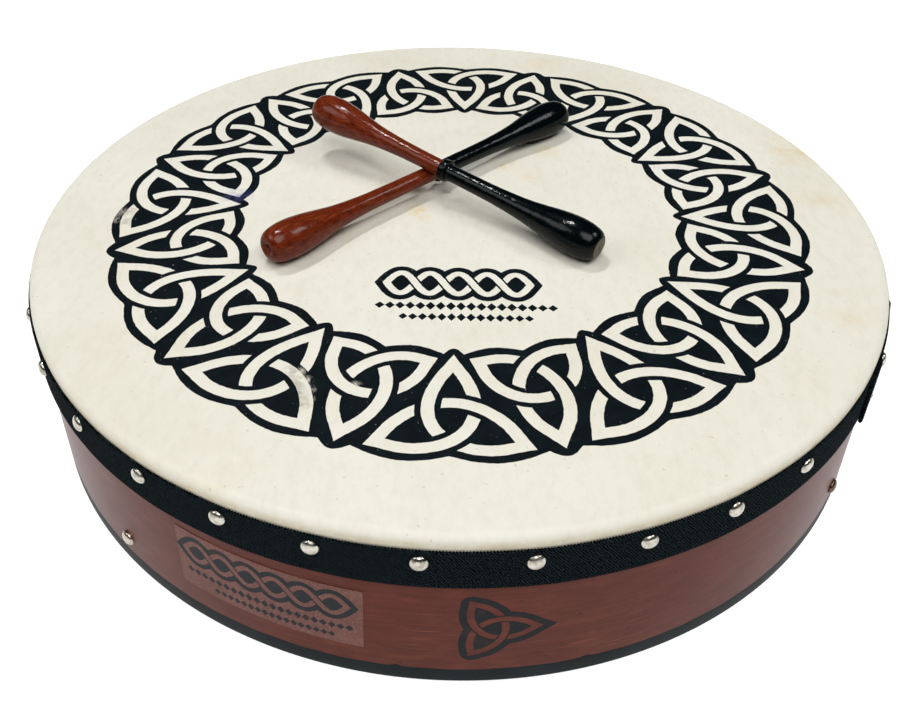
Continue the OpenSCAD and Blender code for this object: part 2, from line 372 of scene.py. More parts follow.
class Graph:
    """A node material built by short calls. A value is either a plain one or another node's socket."""

    def __init__(self, name):
        self.material = bpy.data.materials.new(name)
        self.material.use_nodes = True
        self.tree = self.material.node_tree
        self.surface = self.tree.nodes["Principled BSDF"]
        self.at = self.node("TexCoord", {}).outputs["Object"]

    def put(self, socket, value):
        if isinstance(value, bpy.types.NodeSocket):
            self.tree.links.new(value, socket)
        else:
            socket.default_value = value

    def node(self, kind, inputs, **settings):
        n = self.tree.nodes.new("ShaderNode" + kind)
        for key, value in settings.items():
            setattr(n, key, value)
        for key, value in inputs.items():
            self.put(n.inputs[key], value)
        return n

    def math(self, operation, a, b=0.0):
        return self.node("Math", {0: a, 1: b}, operation=operation).outputs[0]

    def stretch(self, scale, at=None):
        """Coordinates multiplied by three factors."""
        return self.node("VectorMath", {0: at or self.at, 1: scale}, operation="MULTIPLY").outputs[0]

    def split(self, at=None):
        return self.node("SeparateXYZ", {0: at or self.at}).outputs

    def noise(self, scale, detail=3.0, rough=0.5, at=None, distort=0.0):
        inputs = {"Vector": at or self.at, "Scale": scale, "Detail": detail, "Roughness": rough,
                  "Distortion": distort}
        return self.node("TexNoise", inputs).outputs["Fac"]

    def level(self, value, low, high, a=0.0, b=1.0):
        """Maps low..high to a..b, held at both ends."""
        inputs = {"Value": value, "From Min": low, "From Max": high, "To Min": a, "To Max": b}
        return self.node("MapRange", inputs).outputs["Result"]

    def mix(self, fac, a, b, blend="MIX"):
        n = self.node("Mix", {}, data_type="RGBA", blend_type=blend)
        self.put(n.inputs[0], fac)
        self.put(n.inputs[6], a)
        self.put(n.inputs[7], b)
        return n.outputs[2]

    def spot(self, centre, inner, outer, squeeze=(1, 1, 1)):
        """1 inside a round place, 0 beyond its outer radius."""
        at = self.stretch(squeeze)
        centre = tuple(c * s for c, s in zip(centre, squeeze))
        gap = self.node("VectorMath", {0: at, 1: centre}, operation="DISTANCE").outputs["Value"]
        return self.level(gap, inner, outer, 1.0, 0.0)

    def bump(self, height, depth, normal=None):
        inputs = {"Height": height, "Distance": depth, "Strength": 1.0}
        if normal:
            inputs["Normal"] = normal
        return self.node("Bump", inputs).outputs["Normal"]

    def finish(self, **inputs):
        for key, value in inputs.items():
            self.put(self.surface.inputs[key.replace("_", " ")], value)
        return self.material


# ---- skin ----

# (x, y, radius, strength) in millimetres of the yellow-brown stains on the skin
SKIN_STAINS = ((-96, -198, 24, 0.4), (205, 78, 26, 0.8), (190, -84, 18, 0.55), (56, 202, 22, 0.5),
               (120, 150, 30, 0.3), (-150, -120, 34, 0.25), (208, 20, 24, 0.45))
# (x, y, radius, strength) of the small ochre spots near its middle
SKIN_SPOTS = ((-24, -1, 8, 0.9), (-20, -8, 5, 0.6), (26, 52, 10, 0.5), (40, 38, 7, 0.35), (52, 71, 10, 0.5),
              (96, 60, 8, 0.3), (-60, -30, 12, 0.25))
SMUDGE = (-127, 10)             # a blue pen smudge beside the border
# (x, y, radius) in millimetres of grey smears of ink on the bare strands
SMEARS = ((-74, -137, 5), (-71, -144, 6), (-69, -151, 6), (-66, -158, 5), (-184, -9, 6), (-182, -18, 5))


def on_skin(g, x, y, outer, inner=0):
    """1 at a place on the skin, 0 beyond its outer radius, all in millimetres."""
    return g.spot((x * MM, y * MM, DRUM_H), inner * MM, outer * MM)


def pen_smudge(g, strength):
    mask = g.math("MULTIPLY", on_skin(g, *SMUDGE, 10, 1), g.level(g.noise(160, 2), 0.35, 0.6))
    return g.math("MULTIPLY", mask, strength)


def skin_colour(g):
    """Cream hide: broad mottling, stains, faint flecks and a yellower rim."""
    cloud = g.noise(9, 4, 0.6)
    colour = g.mix(g.level(cloud, 0.35, 0.7), screen(235, 233, 221), screen(229, 225, 209))
    fibre = g.noise(260, 3, 0.6, g.stretch((1, 0.45, 1)))
    colour = g.mix(g.level(fibre, 0.45, 0.8, 0, 0.25), colour, screen(205, 195, 168))
    stain_edge = g.noise(38, 4, 0.65)
    for x, y, r, strength in SKIN_STAINS:
        mask = g.math("MULTIPLY", on_skin(g, x, y, r), g.level(stain_edge, 0.42, 0.68))
        colour = g.mix(g.math("MULTIPLY", mask, strength), colour, screen(214, 186, 128))
    spot_edge = g.noise(170, 4, 0.7)
    for x, y, r, strength in SKIN_SPOTS:
        mask = g.math("MULTIPLY", on_skin(g, x, y, r), g.level(spot_edge, 0.4, 0.6))
        colour = g.mix(g.math("MULTIPLY", mask, strength), colour, screen(226, 196, 132))
    colour = g.mix(pen_smudge(g, 0.7), colour, screen(110, 116, 176))
    drag = g.level(g.noise(300, 3, 0.7), 0.35, 0.62)
    for x, y, r in SMEARS:
        mask = g.math("MULTIPLY", on_skin(g, x, y, r), drag)
        colour = g.mix(g.math("MULTIPLY", mask, 0.75), colour, screen(132, 126, 114))
    fleck = g.level(g.noise(420, 1, 0.4), 0.75, 0.78)
    colour = g.mix(g.math("MULTIPLY", fleck, 0.3), colour, screen(170, 150, 110))
    rim = g.level(g.split()[2], DRUM_H - 1.8 * MM, DRUM_H - 4 * MM)
    rim = g.math("MULTIPLY", rim, g.level(g.noise(90, 4, 0.65), 0.3, 0.7, 0.25, 0.8))
    return g.mix(rim, colour, screen(200, 186, 152))


def skin_bump(g):
    grain = g.bump(g.noise(900, 2, 0.5), 0.05 * MM)
    return g.bump(g.noise(55, 3, 0.5), 0.25 * MM, grain)


def goatskin():
    g = Graph("goatskin")
    roughness = g.level(g.noise(30, 3), 0.3, 0.7, 0.5, 0.64)
    return g.finish(Base_Color=skin_colour(g), Roughness=roughness, Normal=skin_bump(g), IOR=1.4)


# Where the ink has rubbed off: (x, y, radius) in millimetres
SCUFFS = ((-70, -137, 2.5), (-67, -143, 3), (-65, -149, 3), (-64, -155, 2.5), (-189, -8, 4),
          (-187, -16, 4), (-45, -146, 3))


def border_ink():
    """Screen-printed ink with rubbed places and pinholes that show the hide."""
    g = Graph("border_ink")
    ink = g.mix(g.level(g.noise(120, 3), 0.35, 0.7), screen(9, 17, 21), screen(16, 25, 30))
    rub = g.noise(480, 3, 0.7, g.stretch((1, 0.5, 1)))
    worn = g.level(g.noise(900, 1), 0.76, 0.79, 0, 0.4)
    for x, y, r in SCUFFS:
        place = on_skin(g, x, y, r * 1.3)
        worn = g.math("MAXIMUM", worn, g.math("MULTIPLY", place, g.level(rub, 0.42, 0.66)))
    ink = g.mix(pen_smudge(g, 0.8), ink, screen(70, 74, 128))
    colour = g.mix(worn, ink, skin_colour(g))
    roughness = g.level(worn, 0, 1, 0.5, 0.6)
    return g.finish(Base_Color=colour, Roughness=roughness, Normal=skin_bump(g), Specular_IOR_Level=0.06)


def skin_underside():
    g = Graph("skin_underside")
    cloud = g.level(g.noise(14, 5, 0.65), 0.3, 0.7)
    colour = g.mix(cloud, screen(225, 214, 184), screen(205, 188, 148))
    veins = g.level(g.noise(26, 3, 0.6, None, 1.5), 0.49, 0.52)
    veins = g.math("MULTIPLY", veins, g.level(g.noise(26, 3, 0.6, None, 1.5), 0.55, 0.52))
    colour = g.mix(g.math("MULTIPLY", veins, 0.5), colour, screen(188, 160, 118))
    return g.finish(Base_Color=colour, Roughness=0.75, Normal=g.bump(g.noise(500, 3), 0.15 * MM))


# ---- hoop ----

def around(g):
    """Bearing in degrees as a socket."""
    x, y, _ = g.split()
    return g.math("MULTIPLY", g.math("ARCTAN2", x, g.math("MULTIPLY", y, -1.0)), math.degrees(1))


def swell(g, centre, width, height, turn):
    """A low bump along the hoop, centred on a bearing."""
    away = g.math("ABSOLUTE", g.math("SUBTRACT", turn, centre))
    return g.level(away, 0, width, height, 0.0)


def hoop_stain(name):
    """Red-brown stain over bent ply, with a painted band at the open rim."""
    g = Graph(name)
    z = g.split()[2]
    grain = g.noise(1, 5, 0.62, g.stretch((16, 16, 620)))
    broad = g.noise(7, 3, 0.5)
    colour = g.mix(g.level(grain, 0.25, 0.8), screen(101, 45, 31), screen(82, 35, 25))
    colour = g.mix(g.level(broad, 0.35, 0.7, 0, 0.5), colour, screen(94, 52, 44))
    scratch = g.level(g.noise(1, 2, 0.5, g.stretch((34, 34, 1900))), 0.66, 0.71)
    patchy = g.level(g.noise(22, 2), 0.46, 0.6)
    scratch = g.math("MULTIPLY", g.math("MULTIPLY", scratch, patchy), 0.7)
    colour = g.mix(scratch, colour, screen(164, 96, 66))
    speck = g.level(g.noise(300, 1, 0.4), 0.74, 0.77)
    # painted shade of a dent: a small dark mark, though the relief has no dent here
    dent_shade = g.spot(bearing(4.6, HOOP_R, 12 * MM), 0.6 * MM, 3.2 * MM, (1, 1, 3))
    dent_shade = g.math("MULTIPLY", dent_shade, g.level(patchy, 0, 1, 0.5, 1))
    # real dark specks in the stain, together with the painted shade of the dent
    dark = g.math("MAXIMUM", g.math("MULTIPLY", speck, 0.6), dent_shade)
    colour = g.mix(dark, colour, screen(58, 25, 19))
    streak = g.spot(bearing(54, HOOP_R, 14 * MM), 0.5 * MM, 5 * MM, (1.6, 1.6, 0.8))
    streak = g.math("MULTIPLY", streak, g.level(g.noise(260, 2), 0.35, 0.6))
    colour = g.mix(g.math("MULTIPLY", streak, 0.8), colour, screen(72, 34, 26))
    mottle = g.noise(1, 5, 0.7, g.stretch((60, 60, 150)))
    colour = g.mix(g.level(mottle, 0.5, 0.72, 0, 0.35), colour, screen(124, 64, 50))
    colour = g.mix(g.level(mottle, 0.48, 0.3, 0, 0.4), colour, screen(72, 32, 26))
    turn = around(g)
    edge = g.level(g.noise(60, 2), 0.3, 0.7, -0.35 * MM, 0.35 * MM)
    edge = g.math("ADD", edge, swell(g, -5.9, 0.8, 1.1 * MM, turn))
    edge = g.math("ADD", edge, swell(g, 14.8, 0.8, 1.1 * MM, turn))
    painted = g.level(g.math("SUBTRACT", z, edge), BAND_H - 0.15 * MM, BAND_H + 0.15 * MM, 1.0, 0.0)
    paint = g.mix(g.level(g.noise(40, 3), 0.4, 0.7), screen(9, 19, 22), screen(18, 29, 33))
    colour = g.mix(painted, colour, paint)
    roughness = g.level(painted, 0, 1, 0.3, 0.5)
    relief = g.bump(grain, 0.07 * MM)
    relief = g.bump(g.noise(14, 2), 0.5 * MM, relief)
    return g.finish(Base_Color=colour, Roughness=roughness, Normal=relief, Specular_IOR_Level=0.07)


def bare_wood(name, along, light=(222, 186, 132), dark=(196, 152, 98), deg=0.0):
    """Unfinished pale wood. along stretches the grain by three factors, in axes turned by deg about Z."""
    g = Graph(name)
    spun = g.node("VectorRotate", {"Vector": g.at, "Angle": math.radians(deg)}, rotation_type="Z_AXIS")
    at = g.stretch(along, spun.outputs["Vector"])
    rings = g.noise(1, 4, 0.6, at, 0.6)
    colour = g.mix(g.level(rings, 0.3, 0.7), screen(*light), screen(*dark))
    pores = g.level(g.noise(5, 2, 0.6, at), 0.62, 0.7)
    colour = g.mix(g.math("MULTIPLY", pores, 0.35), colour, screen(140, 98, 58))
    dirt = g.level(g.noise(12, 4), 0.55, 0.8, 0, 0.3)
    colour = g.mix(dirt, colour, screen(150, 120, 84))
    relief = g.bump(g.noise(4, 3, 0.6, at), 0.12 * MM)
    return g.finish(Base_Color=colour, Roughness=0.68, Normal=relief)


# ---- webbing ----

def webbing():
    """Black woven tape. Its UV map is metres along and up, so the weave follows it."""
    g = Graph("webbing")
    uv = g.node("TexCoord", {}).outputs["UV"]
    u, v, _ = g.split(uv)
    warp = g.math("SINE", g.math("MULTIPLY", v, 2 * math.pi / (0.9 * MM)))
    slant = g.math("ADD", g.math("MULTIPLY", u, 1 / (1.3 * MM)), g.math("MULTIPLY", v, 1 / (1.7 * MM)))
    slant = g.math("ADD", slant, g.math("MULTIPLY", g.noise(420, 2, 0.6), 2.2))
    twill = g.math("SINE", g.math("MULTIPLY", slant, 2 * math.pi))
    weave = g.math("ADD", g.math("MULTIPLY", twill, 0.6), g.math("MULTIPLY", warp, 0.4))
    fluff = g.noise(900, 3, 0.7)
    weave = g.math("ADD", weave, g.math("MULTIPLY", fluff, 1.6))
    colour = g.mix(g.level(weave, 0.5, 1.9), screen(1, 4, 5), screen(44, 55, 60))
    lint = g.level(g.noise(800, 2, 0.5), 0.74, 0.78)
    colour = g.mix(g.math("MULTIPLY", lint, 0.5), colour, screen(96, 98, 96))
    relief = g.bump(weave, 0.2 * MM)
    return g.finish(Base_Color=colour, Roughness=0.85, Normal=relief, Specular_IOR_Level=0.01)


# ---- metal ----

def plated(name, clean, dull, rust, dark_from=180):
    """Plated steel with dull patches and rust-coloured specks. A higher rust gives more of them, and what
    lies beyond the bearing dark_from is corroded all over."""
    g = Graph(name)
    patch = g.level(g.noise(420, 3, 0.6), 0.42, 0.66)
    colour = g.mix(g.math("MULTIPLY", patch, 0.6), screen(*clean), screen(*dull))
    speck = g.level(g.noise(900, 2, 0.6), 0.72 - rust, 0.78 - rust)
    colour = g.mix(g.math("MULTIPLY", speck, 0.8), colour, screen(120, 84, 48))
    east = g.level(around(g), dark_from, dark_from + 2, 0, 0.9)
    colour = g.mix(east, colour, screen(92, 66, 46))
    roughness = g.level(patch, 0, 1, 0.2, 0.42)
    metal = g.level(speck, 0, 1, 1.0, 0.4)
    return g.finish(Base_Color=colour, Roughness=roughness, Metallic=metal,
                    Normal=g.bump(g.noise(700, 2), 0.06 * MM))


# ---- label ----

def label_film():
    """Matt printed film over the stain: a little paler and pinker than the hoop."""
    g = Graph("label_film")
    haze = g.noise(70, 4, 0.6)
    colour = g.mix(g.level(haze, 0.3, 0.7), screen(104, 66, 58), screen(118, 78, 70))
    fine = g.level(g.noise(900, 3, 0.7), 0.5, 0.75, 0, 0.75)
    colour = g.mix(fine, colour, screen(150, 110, 102))
    relief = g.bump(g.noise(1200, 2), 0.03 * MM)
    return g.finish(Base_Color=colour, Roughness=0.5, Normal=relief, Specular_IOR_Level=0.1)


def print_ink(name, tone, thin):
    """Ink on the hoop or its label, thin enough in places to show the stain."""
    g = Graph(name)
    wear = g.level(g.noise(160, 4, 0.65), 0.52, 0.75, 0, thin)
    colour = g.mix(wear, screen(*tone), screen(104, 62, 54))
    return g.finish(Base_Color=colour, Roughness=0.5, Normal=g.bump(g.noise(600, 2), 0.04 * MM),
                    Specular_IOR_Level=0.06)


# ---- tippers ----

def lacquer(name, stops, pits, shine):
    """Glossy lacquer over turned wood: dark, middle and light tones, depth of its pits, coat's weight."""
    g = Graph(name)
    mottle = g.noise(1, 5, 0.75, g.stretch((300, 300, 150)))
    grain = g.noise(1, 3, 0.6, g.stretch((800, 800, 140)))
    dark, middle, light = (screen(*tone) for tone in stops)
    colour = g.mix(g.level(mottle, 0.3, 0.52), dark, middle)
    colour = g.mix(g.level(grain, 0.5, 0.75, 0, 0.55), colour, light)
    fine = g.noise(1, 3, 0.7, g.stretch((900, 900, 420)))
    relief = g.bump(fine, pits)
    relief = g.bump(g.noise(130, 2), 0.25 * MM, relief)
    roughness = g.level(fine, 0.35, 0.7, 0.2, 0.36)
    return g.finish(Base_Color=colour, Roughness=roughness, Normal=relief, Specular_IOR_Level=0.03,
                    Coat_Weight=shine, Coat_Roughness=0.05, Coat_Normal=relief)


# ================= pieces =================

# ---- hoop ----

def build_hoop():
    outside = arc(HOOP_R - RIM_R, RIM_R, RIM_R, -90, 0, 4)
    outside += [(HOOP_R, RIM_R + (HOOP_H - BEARING_R - RIM_R) * i / 12) for i in range(1, 12)]
    outside += arc(HOOP_R - BEARING_R, HOOP_H - BEARING_R, BEARING_R, 0, 90, 6)
    inside = arc(BORE_R + RIM_R, HOOP_H - RIM_R, RIM_R, 90, 180, 3)
    inside += [(BORE_R, HOOP_H * i / 8) for i in range(7, 0, -1)]
    inside += arc(BORE_R + RIM_R, RIM_R, RIM_R, 180, 270, 3)
    verts, rings = lathe(outside + inside, ROUND_STEPS)
    faces = band_faces(rings, closed=True)
    stained = (len(outside) - 1) * ROUND_STEPS
    kinds = [0 if i < stained else 1 for i in range(len(faces))]
    kinds[-ROUND_STEPS:] = [0] * ROUND_STEPS
    bare = bare_wood("hoop_inside", (18, 18, 420), (214, 176, 122), (190, 146, 94))
    make_piece("hoop", verts, faces, [hoop_stain("hoop_stain"), bare], "drum",
               ["shell_hoop"], kinds)


# ---- skin ----

def build_skin():
    """The printed disc, the edge bent over the hoop, the turned-down flap and the underside."""
    art = Print([bearing(360 * i / ROUND_STEPS, FLAT_R) for i in range(ROUND_STEPS)])
    art.polygons.append([bearing(360 * i / ROUND_STEPS, FLAT_R - 0.6 * MM) for i in range(ROUND_STEPS)])
    art.ragged = 0.22 * MM
    add_border(art, SKIN_PRINT_STEP)
    add_plait(art, Vector((0, -69 * MM)), (80 * MM, 28 * MM), 1.9 * MM, 3.6 * MM, 1.1 * MM, 4)
    add_lozenges(art, Vector((4 * MM, -87.5 * MM)), 90 * MM, 5.4 * MM)
    add_lozenges(art, Vector((4 * MM, -96 * MM)), 66 * MM, 5 * MM)
    points, triangles, ink, rim = art.cut()
    verts = [Vector((p.x, p.y, DRUM_H)) for p in points]
    outer_r = BEARING_R + SKIN_T
    profile = arc(FLAT_R, DRUM_H - outer_r, outer_r, 90, 0, 10)[1:]
    profile += [(SKIN_R, SKIN_LOW.z + (DRUM_H - outer_r - SKIN_LOW.z) * i / 4) for i in range(3, -1, -1)]
    under = [(HOOP_R, SKIN_LOW.z)] + arc(FLAT_R, HOOP_H - BEARING_R, BEARING_R, 0, 90, 8)
    under += [(BORE_R * s, HOOP_H) for s in (0.995, 0.8, 0.5, 0)]
    side_verts, side_rings = lathe(profile + under, ROUND_STEPS)
    start = len(verts)
    rings = [rim] + [[v + start for v in ring] for ring in side_rings]
    edge_faces = [face[::-1] for face in band_faces(rings)]
    upper = len(profile) * ROUND_STEPS
    kinds = [int(i) for i in ink] + [0 if i < upper else 2 for i in range(len(edge_faces))]
    materials = [goatskin(), border_ink(), skin_underside()]
    skin = make_piece("goatskin", verts + side_verts, triangles + edge_faces, materials, "drum",
                      ["goatskin_head"], kinds)


# ---- webbing ----

SCALLOP = 1.3 * MM              # pitch of the woven selvedge


def tape_ring(section, from_deg, to_deg, count, closed):
    """Rings of vertices along the drum. section(deg, along) gives the tape's outline there as (r, z)."""
    length = math.radians(to_deg - from_deg) * TAPE_TOP_R
    columns, places = [], []
    for i in range(count if closed else count + 1):
        deg = from_deg + (to_deg - from_deg) * i / count
        along = length * i / count
        columns.append([bearing(deg, r, z) for r, z in section(deg, along)])
        places.append(along)
    return columns, places


def tape_section(r_in, r_out, low, top, along, rows=10):
    """Outline of the tape's section: up the outside, over the selvedge and down the inside."""
    wave = 0.36 * MM * math.cos(2 * math.pi * along / SCALLOP)
    wave_low = 0.3 * MM * math.cos(2 * math.pi * (along / SCALLOP + 0.35))
    drift = 0.25 * MM * noise.noise(Vector((along * 40, 0, 0)))
    top = top + drift - 0.2 * MM + wave
    low = low + drift + 0.2 * MM - wave_low
    mid, half = (r_in + r_out) / 2, (r_out - r_in) / 2
    outside = [(r_out, low + half + (top - low - 2 * half) * i / rows) for i in range(rows + 1)]
    over = arc(mid, top - half, half, 0, 180, 4)[1:-1]
    inside = [(r_in, top - half), (r_in, low + half)]
    under = arc(mid, low + half, half, 180, 360, 4)[1:-1]
    return outside + over + inside + under


def build_webbing():
    verts, faces, uvs = [], [], []

    def add(section, start, end, count, closed):
        columns, places = tape_ring(section, start, end, count, closed)
        base, size = len(verts), len(columns[0])
        for column in columns:
            verts.extend(column)
        for i in range(count):
            j = (i + 1) % len(columns)
            next_place = places[i] + (places[1] - places[0])
            for k in range(size):
                m = (k + 1) % size
                face = [base + i * size + k, base + j * size + k, base + j * size + m, base + i * size + m]
                faces.append(face)
                for v, along in zip(face, (places[i], next_place, next_place, places[i])):
                    uvs.append((along, verts[v].z))
        if not closed:
            faces.append([base + k for k in range(size)])
            uvs.extend((0.0, verts[base + k].z) for k in range(size))
            last = base + count * size
            faces.append([last + k for k in reversed(range(size))])
            uvs.extend((places[-1], verts[last + k].z) for k in reversed(range(size)))

    def main(deg, along):
        return tape_section(SKIN_R, TAPE_TOP_R, TAPE_LOW_Z, TAPE_TOP.z, along)

    def lap(deg, along):
        """The loose end: it hangs lower at its fold and tapers into the tape at its far end."""
        gone = step_up(deg, OVERLAP_TO - 1.6, OVERLAP_TO)
        sag = OVERLAP_SAG * (1 - step_up(deg, OVERLAP_FROM + 1.2, OVERLAP_TO))
        fold = 0.6 * MM * (1 - step_up(deg, OVERLAP_FROM + 0.7, OVERLAP_FROM + 0.85))
        r_out = TAPE_TOP_R + TAPE_T * (1 - 0.97 * gone) + fold
        return tape_section(TAPE_TOP_R - 0.1 * MM, r_out, TAPE_LOW_Z - sag, TAPE_TOP.z, along)

    around_length = 2 * math.pi * TAPE_TOP_R
    add(main, -180, 180, 4 * round(around_length / SCALLOP), True)
    add(lap, OVERLAP_FROM, OVERLAP_TO, 76, False)
    tape = make_piece("webbing", verts, faces, [webbing()], "drum", ["webbing_tape"], None, uvs)


# ---- nails and tacks ----

def dome_places(node, seat_r):
    """(bearing, height) of each nail of a node, from the parts of it that stand outside a radius."""
    places = []
    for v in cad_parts[node].data.vertices:
        if math.hypot(v.co.x, v.co.y) > seat_r:
            places.append((math.degrees(math.atan2(v.co.x, -v.co.y)), v.co.z))
    places.sort()
    groups = [[places[0]]]
    for before, place in zip(places, places[1:]):
        if place[0] - before[0] > 0.5:
            groups.append([])
        groups[-1].append(place)
    middles = []
    for group in groups:
        middles.append([(min(c) + max(c)) / 2 for c in zip(*group)])
    return middles


def dome_mesh(diameter, height, steps=32):
    """A pressed nail head on its back, dome up: rolled rim, slightly flattened crown."""
    r = diameter / 2
    profile = [(0, -0.25 * height), (r * 0.9, -0.25 * height), (r * 0.985, -0.05 * height),
               (r, 0.08 * height)]
    for i in range(1, 9):
        a = math.pi / 2 * i / 9
        profile.append((r * math.cos(a) ** 0.92, height * (0.08 + 0.92 * math.sin(a))))
    return lathe(profile + [(0, height)], steps)


def build_domes(name, node, seat_r, diameter, height, material, tilt, seed):
    picks = random.Random(seed)
    verts, faces = [], []
    dome_verts, rings = dome_mesh(diameter, height)
    for deg, z in dome_places(node, seat_r):
        lean = Matrix.Rotation(math.radians(picks.uniform(-tilt, tilt)), 4, "X")
        lean = lean @ Matrix.Rotation(math.radians(picks.uniform(-tilt, tilt)), 4, "Y")
        spot = bearing(deg, seat_r, z)
        place = Matrix.Translation(spot) @ Matrix.Rotation(math.radians(deg), 4, "Z")
        place = place @ Matrix.Rotation(math.radians(90), 4, "X") @ lean
        base = len(verts)
        verts += [place @ v for v in dome_verts]
        faces += [[v + base for v in face] for face in band_faces(rings)]
    make_piece(name, verts, faces, [material], "drum", [node])


# ---- flat prints laid on the hoop ----

def wrap_print(name, art, at, z, r_low, r_top, materials, replaced=(), only_ink=False):
    """Lays flat artwork round the hoop as a thin closed film."""
    xs = [p.x for polygon in art.polygons for p in polygon]
    ys = [p.y for polygon in art.polygons for p in polygon]
    count = round((max(xs) - min(xs)) / (3 * MM))
    lines = [min(xs) + (max(xs) - min(xs)) * i / count for i in range(1, count)]
    slices = [(Vector((x, min(ys) - MM)), Vector((x, max(ys) + MM))) for x in lines]
    points, triangles, ink, _ = art.cut(slices)
    if only_ink:
        triangles = [t for t, dark in zip(triangles, ink) if dark]
        ink = [True] * len(triangles)
    count = len(points)
    verts = []
    for r in (r_top, r_low):
        verts += [bearing(at + math.degrees(math.asin(p.x / r_top)), r, z + p.y) for p in points]
    faces = [list(t) for t in triangles]
    kinds = [int(i) for i in ink]
    edges = {(a, b) for t in faces for a, b in zip(t, t[1:] + t[:1])}
    faces += [[v + count for v in reversed(t)] for t in triangles]
    kinds += kinds
    for a, b in sorted(edges):
        if (b, a) not in edges:
            faces.append([b, a, a + count, b + count])
            kinds.append(1 if only_ink else 0)
    if only_ink:
        kinds = [0] * len(faces)
    obj = make_piece(name, verts, faces, materials, "drum", replaced, kinds)
    sharpen(obj, 40)


def round_corners(w, h, r, spin):
    turn = Matrix.Rotation(spin, 2)
    points = []
    for sx, sy, a0 in ((1, -1, -90), (1, 1, 0), (-1, 1, 90), (-1, -1, 180)):
        centre = Vector((sx * (w / 2 - r), sy * (h / 2 - r)))
        points += [turn @ (centre + Vector(p)) for p in arc(0, 0, r, a0, a0 + 90, 4)]
    return points


LABEL_W, LABEL_H = 88 * MM, 37 * MM
LABEL_AT, LABEL_Z = -20.2, 39.5 * MM
LABEL_LEAN = math.radians(-1.6)
LABEL_T = 0.3 * MM


def build_label():
    art = Print(round_corners(LABEL_W, LABEL_H, 0.7 * MM, LABEL_LEAN))
    turn = Matrix.Rotation(LABEL_LEAN, 2)
    art.ragged = 0.12 * MM
    centre = turn @ Vector((-1 * MM, 6.6 * MM))
    add_plait(art, centre, (82 * MM, 19 * MM), 1.3 * MM, 2.7 * MM, 0.8 * MM, 5, LABEL_LEAN)
    add_lozenges(art, turn @ Vector((0, -7.2 * MM)), 80 * MM, 4 * MM, LABEL_LEAN)
    add_lozenges(art, turn @ Vector((3 * MM, -13.6 * MM)), 58 * MM, 3.6 * MM, LABEL_LEAN)
    ink = print_ink("label_ink", (40, 43, 47), 0.25)
    wrap_print("side_label_film", art, LABEL_AT, LABEL_Z, HOOP_R - FILM_SINK, HOOP_R + LABEL_T,
               [label_film(), ink], ["side_label"])


SIDE_KNOT_AT, SIDE_KNOT_Z = 5.4, 37.6 * MM
SIDE_STRAND_HALF, SIDE_OUTLINE, SIDE_GAP = 1.55 * MM, 3.2 * MM, 0.65 * MM
SIDE_SHEET_HALF = 26 * MM
KNOT_MIDDLE = 0.673             # share of the skin's radius where the border's knot has its middle
SIDE_LENGTH, SIDE_WIDTH = 118, 1.66     # millimetres for one share and for one degree of it


def side_knot_path(points):
    """The border's knot redrawn for the hoop, lying on its side: (degrees, share) to flat metres."""
    flat = [Vector(((r - KNOT_MIDDLE) * SIDE_LENGTH * MM, a * SIDE_WIDTH * MM)) for a, r in points]
    return smooth_path(flat, 0.8 * MM)


def build_side_knot():
    arcs = [side_knot_path(line) for line in KNOT_ARCS]
    sheet = [Vector((x * SIDE_SHEET_HALF, y * SIDE_SHEET_HALF)) for x, y in SQUARE]
    art = Print(sheet)
    art.ragged = 0.06 * MM
    wide = SIDE_STRAND_HALF + SIDE_OUTLINE
    for path in arcs:
        art.ground.append((art.add(ribbon(path, wide)), set()))
        art.ground.append((art.add(path), set()))
    for path in arcs[:2]:
        disc = [path[-1] + Vector(p) for p in arc(0, 0, wide, 0, 345, 23)]
        art.ground.append((art.add(disc), set()))
    art.ground.append((art.add(corner_kites(arcs, wide)[2]), set()))
    add_knot(art, arcs, SIDE_STRAND_HALF, SIDE_GAP, 5 * MM)
    ink = print_ink("side_knot_ink", (32, 34, 37), 0.2)
    wrap_print("hoop_knot_print", art, SIDE_KNOT_AT, SIDE_KNOT_Z, HOOP_R - 0.03 * MM,
               HOOP_R + 0.05 * MM, [ink], (), True)


# ---- tippers ----

# From a tipper's end to its ring: (distance from the end in mm, share of the knob's radius)
KNOB_LINE = ((0, .55), (.5, .63), (1.7, .75), (4.2, .875), (9, .97), (15, 1), (21, .965), (28, .88),
             (36, .75), (46, .61), (58, .52), (72, .465))
KNOB_R, SHAFT_R, RING_R = 10.5 * MM, 4.6 * MM, 6.3 * MM
RING_HALF = 2.3 * MM
TIPPER_STEPS = 72
LATHE_HOLE_R = 1.3 * MM
RING_POINTS = 7                 # points at the end of the brown side's profile that lie on the black ring


def tipper_side(side_l):
    """Profile of one side as (r, distance from the ring's middle), from the end to the top of the ring."""
    ends = [Vector((r * KNOB_R, side_l - d * MM)) for d, r in KNOB_LINE]
    line = [tuple(p) for p in smooth_path(ends + [Vector((SHAFT_R, RING_HALF))], 1.6 * MM)]
    round_r = 0.9 * MM
    bead = [(r, z) for r, z in arc(RING_R - round_r, RING_HALF - round_r, round_r, 90, 0, 4)]
    return line + [(SHAFT_R - 0.35 * MM, RING_HALF)] + bead


